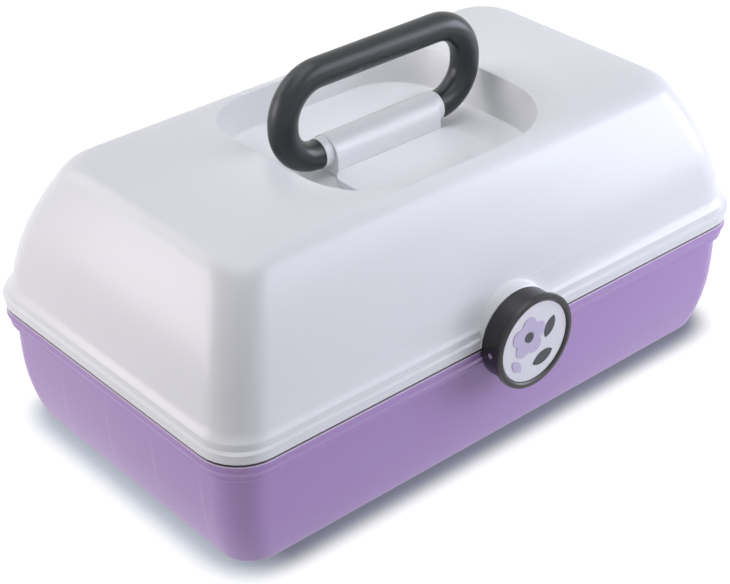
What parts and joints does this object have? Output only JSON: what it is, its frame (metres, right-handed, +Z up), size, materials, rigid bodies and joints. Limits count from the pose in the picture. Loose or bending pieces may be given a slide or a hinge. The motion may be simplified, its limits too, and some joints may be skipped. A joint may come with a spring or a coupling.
{
  "type": "makeup storage case with handle",
  "caption": "Moulded make-up carry case with a domed lid, folding loop handle, round rocking latch, tilting mirror and a tray that rises as the lid opens.",
  "frame": {"origin": "centre of the flat underside, midway between the end walls and between the front and back of the seam", "axes": "+X along the case to its right-hand end, -Y to the front with the latch, +Z up"},
  "size_m": [0.3308, 0.2123, 0.1828],
  "materials": {
    "shell_lavender": "Satin moulded polypropylene in lavender",
    "shell_pearl": "Pearl white moulded plastic with a soft gloss",
    "charcoal_plastic": "Smooth moulded charcoal plastic",
    "badge_white": "Glossy printed disc",
    "badge_lilac": "Lilac inlay",
    "badge_charcoal": "Dark grey inlay",
    "tray_lilac": "Satin moulded plastic in pale lilac",
    "divider_white": "Thin moulded white plastic",
    "mirror_silver": "Silvered glass",
    "pin_steel": "Turned steel pins"
  },
  "bodies": {
    "base": {"base_shell": "shell_lavender", "hinge_pin_left": "pin_steel", "hinge_pin_right": "pin_steel", "arm_rivet_left": "pin_steel", "arm_rivet_right": "pin_steel", "divider_long": "divider_white", "divider_cross_left": "divider_white", "divider_cross_right": "divider_white"},
    "lid": {"lid_shell": "shell_pearl", "mirror_pin_left": "pin_steel", "mirror_pin_right": "pin_steel", "lid_rivet_left": "pin_steel", "lid_rivet_right": "pin_steel"},
    "handle": {"handle": "charcoal_plastic"},
    "latch": {"latch_drum": "charcoal_plastic", "latch_bezel": "charcoal_plastic", "latch_badge": "badge_white", "badge_dark_motif": "badge_charcoal", "badge_lilac_motif": "badge_lilac", "latch_pin": "pin_steel"},
    "mirror": {"mirror_frame": "divider_white", "mirror_glass": "mirror_silver"},
    "tray": {"tray": "tray_lilac", "tray_divider_left": "divider_white", "tray_divider_right": "divider_white", "tray_rivet_left": "pin_steel", "tray_rivet_right": "pin_steel"},
    "arm_left": {"tray_arm_left": "charcoal_plastic"},
    "arm_right": {"tray_arm_right": "charcoal_plastic"}
  },
  "joints": [
    {"name": "lid_hinge", "type": "hinge", "parent": "base", "child": "lid", "pos_m": [0, 0.0997, 0.0658], "axis": [-1, 0, 0], "range_deg": [0, 100]},
    {"name": "tray_pivot", "type": "hinge", "parent": "lid", "child": "tray", "pos_m": [0, 0.0495, 0.0742], "axis": [1, 0, 0], "range_deg": [0, 100]},
    {"name": "arm_left_pivot", "type": "hinge", "parent": "base", "child": "arm_left", "pos_m": [-0.149, 0.03, 0.0564], "axis": [-1, 0, 0], "range_deg": [0, 100]},
    {"name": "arm_right_pivot", "type": "hinge", "parent": "base", "child": "arm_right", "pos_m": [0.149, 0.03, 0.0564], "axis": [-1, 0, 0], "range_deg": [0, 100]},
    {"name": "handle_pivot", "type": "hinge", "parent": "lid", "child": "handle", "pos_m": [0, 0, 0.1345], "axis": [-1, 0, 0], "range_deg": [0, 90]},
    {"name": "latch_pivot", "type": "hinge", "parent": "base", "child": "latch", "pos_m": [0, -0.1018, 0.0658], "axis": [1, 0, 0], "range_deg": [0, 12]},
    {"name": "mirror_tilt", "type": "hinge", "parent": "lid", "child": "mirror", "pos_m": [0, 0.05031, 0.115], "axis": [1, 0, 0], "range_deg": [0, 18]}
  ],
  "couplings": [
    {"joint": "tray_pivot", "follows": "lid_hinge", "ratio": 1},
    {"joint": "arm_left_pivot", "follows": "lid_hinge", "ratio": 1},
    {"joint": "arm_right_pivot", "follows": "lid_hinge", "ratio": 1}
  ]
}
